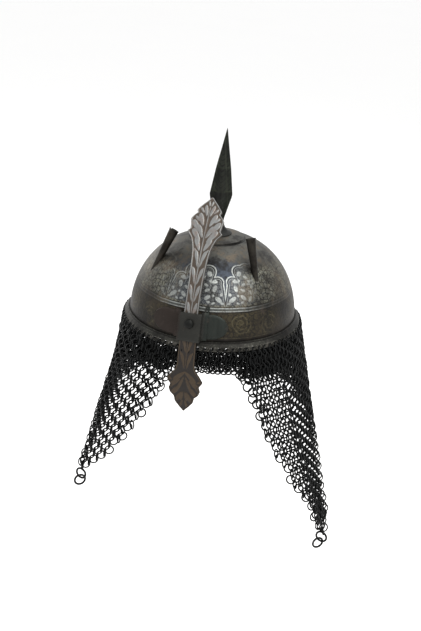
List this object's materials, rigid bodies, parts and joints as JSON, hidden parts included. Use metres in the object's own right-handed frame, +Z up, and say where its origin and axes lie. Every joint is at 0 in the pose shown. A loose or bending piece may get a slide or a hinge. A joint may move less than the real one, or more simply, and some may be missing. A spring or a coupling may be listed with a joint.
{
  "type": "kulah khud helmet",
  "caption": "Round steel bowl helmet with a spike, two plume tubes, a sliding nasal bar and a mail curtain with two long points.",
  "frame": {"origin": "centre of the rim's lower edge, where the helmet sits on a head", "axes": "+Z up along the spike, -Y to the face side with the nasal bar, +X to the wearer's left"},
  "size_m": [0.3145, 0.2304, 0.4865],
  "materials": {
    "etched_steel": "dark worn steel with pale etched ornament",
    "rim_steel": "worn grey steel",
    "black_steel": "blackened steel with engraving",
    "pale_steel": "pale worn steel, engraved leaves, rust towards the lower end",
    "rusty_steel": "brown and green-grey patinated steel",
    "mail_steel": "near black steel wire rings"
  },
  "bodies": {
    "helmet": {"bowl": "etched_steel", "rim_band": "rim_steel", "crown_plate": "etched_steel", "spike_collar": "black_steel", "spike": "black_steel", "plume_tube_left": "etched_steel", "plume_tube_right": "etched_steel", "nasal_bracket": "rusty_steel", "mail_front": "mail_steel", "mail_left": "mail_steel", "mail_right": "mail_steel", "mail_back": "mail_steel", "mail_end_ring_left_upper": "mail_steel", "mail_end_ring_left_lower": "mail_steel", "mail_end_ring_right_upper": "mail_steel", "mail_end_ring_right_lower": "mail_steel"},
    "nasal": {"nasal_bar": "pale_steel"},
    "screw": {"set_screw": "black_steel"}
  },
  "joints": [
    {"name": "nasal_slide", "type": "hinge", "parent": "helmet", "child": "nasal", "pos_m": [0, 0.1725, -0.04], "axis": [1, 0, 0], "range_deg": [-4, 10]},
    {"name": "set_screw_turn", "type": "hinge", "parent": "helmet", "child": "screw", "pos_m": [0, -0.10545, 0.0315], "axis": [0, -0.9685, 0.2491], "range_deg": [0, 360]}
  ]
}
